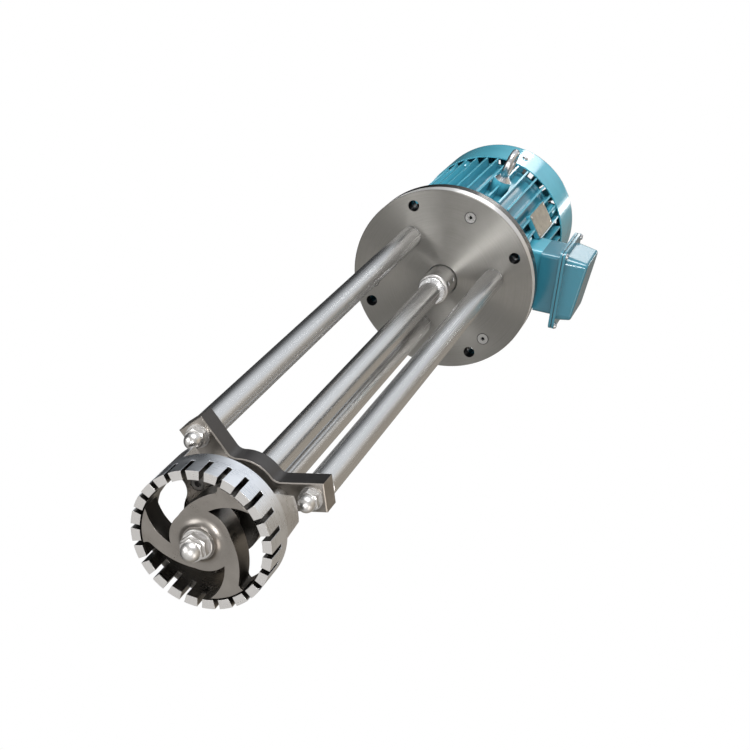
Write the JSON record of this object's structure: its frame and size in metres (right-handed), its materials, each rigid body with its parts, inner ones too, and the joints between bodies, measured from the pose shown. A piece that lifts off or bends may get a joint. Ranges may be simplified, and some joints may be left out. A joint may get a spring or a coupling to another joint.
{
  "type": "high shear mixer",
  "caption": "Flange-mounted in-tank high shear mixer: finned motor with terminal box on a round plate, long shaft and rods, toothed stator ring with a swept-blade rotor.",
  "frame": {"origin": "centre of the mounting plate's lower face, on the shaft axis", "axes": "+Z along the shaft axis from the mixing head to the motor, -Y towards the lifting eye, +X on the terminal box side"},
  "size_m": [0.3009, 0.2865, 1.1433],
  "materials": {
    "stainless": "turned stainless steel, fine circular brushing",
    "plate_screw_steel": "stainless socket screws",
    "polished_steel": "polished stainless rods",
    "bracket_steel": "machined stainless steel, satin",
    "bushing_polymer": "bearing polymer",
    "zinc_steel": "bright stainless steel",
    "acorn_steel": "bright stainless steel",
    "stator_steel": "machined stainless steel, satin",
    "spacer_steel": "bright stainless steel",
    "stator_bolt_steel": "bright stainless steel",
    "motor_paint": "teal gloss enamel",
    "motor_bolt_steel": "zinc-plated steel",
    "frame_paint": "teal gloss enamel",
    "lamination_steel": "laminated electrical steel",
    "winding_copper": "varnished copper windings",
    "rear_shield_paint": "teal gloss enamel",
    "rear_bolt_steel": "zinc-plated steel",
    "cowl_paint": "teal gloss enamel",
    "cowl_screw_steel": "zinc-plated steel",
    "bearing_steel": "hardened ground steel",
    "fan_bearing_steel": "hardened ground steel",
    "spring_steel": "hardened ground steel",
    "seal_rubber": "black nitrile",
    "eye_bolt_steel": "zinc-plated steel",
    "nameplate_metal": "bare plate, satin",
    "rivet_metal": "bright",
    "box_base_paint": "teal gloss enamel",
    "gasket_rubber": "black nitrile",
    "box_lid_paint": "teal gloss enamel",
    "lid_screw_steel": "zinc-plated steel",
    "terminal_resin": "moulded resin with brass studs",
    "gland_nylon": "black nylon",
    "motor_shaft_steel": "ground steel",
    "rotor_core_metal": "laminations with a cast cage",
    "bearing_steel_inner": "hardened ground steel",
    "fan_bearing_steel_inner": "hardened ground steel",
    "fan_nylon": "black nylon",
    "key_steel": "hardened ground steel",
    "clip_steel": "hardened ground steel",
    "sleeve_steel": "bright stainless steel",
    "set_screw_steel": "bright stainless steel",
    "coupling_key_steel": "hardened ground steel",
    "shaft_steel": "ground steel",
    "rotor_key_steel": "hardened ground steel",
    "rotor_steel": "machined stainless steel, satin",
    "rotor_washer_steel": "bright stainless steel",
    "lock_nut_steel": "bright stainless steel",
    "dome_nut_steel": "bright stainless steel"
  },
  "bodies": {
    "stand": {"mounting_plate": "stainless", "plate_screws": "plate_screw_steel", "support_rod_1": "polished_steel", "support_rod_2": "polished_steel", "support_rod_3": "polished_steel", "lower_bracket": "bracket_steel", "shaft_bushing": "bushing_polymer", "rod_washers": "zinc_steel", "rod_acorn_nuts": "acorn_steel", "stator_ring": "stator_steel", "stator_spacers": "spacer_steel", "stator_bolts": "stator_bolt_steel", "motor_flange_shield": "motor_paint", "drive_shield_bolts": "motor_bolt_steel", "motor_frame": "frame_paint", "motor_stator_core": "lamination_steel", "motor_windings": "winding_copper", "rear_end_shield": "rear_shield_paint", "rear_shield_bolts": "rear_bolt_steel", "fan_cowl": "cowl_paint", "cowl_screws": "cowl_screw_steel", "drive_bearing_outer": "bearing_steel", "fan_bearing_outer": "fan_bearing_steel", "wave_washer": "spring_steel", "shaft_seal": "seal_rubber", "eye_bolt": "eye_bolt_steel", "nameplate": "nameplate_metal", "nameplate_rivets": "rivet_metal", "terminal_box_base": "box_base_paint", "terminal_box_gasket": "gasket_rubber", "terminal_box_lid": "box_lid_paint", "terminal_lid_screws": "lid_screw_steel", "terminal_block": "terminal_resin", "cable_gland": "gland_nylon"},
    "rotor_train": {"motor_shaft": "motor_shaft_steel", "motor_rotor_core": "rotor_core_metal", "drive_bearing_inner": "bearing_steel_inner", "fan_bearing_inner": "fan_bearing_steel_inner", "cooling_fan": "fan_nylon", "fan_key": "key_steel", "fan_circlip": "clip_steel", "coupling_sleeve": "sleeve_steel", "coupling_set_screws": "set_screw_steel", "coupling_key": "coupling_key_steel", "drive_shaft": "shaft_steel", "rotor_key": "rotor_key_steel", "mixing_rotor": "rotor_steel", "rotor_washer": "rotor_washer_steel", "rotor_lock_nut": "lock_nut_steel", "rotor_dome_nut": "dome_nut_steel"}
  },
  "joints": [
    {"name": "shaft_spin", "type": "hinge", "parent": "stand", "child": "rotor_train", "pos_m": [0, 0, 0], "axis": [0, 0, 1], "continuous": true}
  ]
}
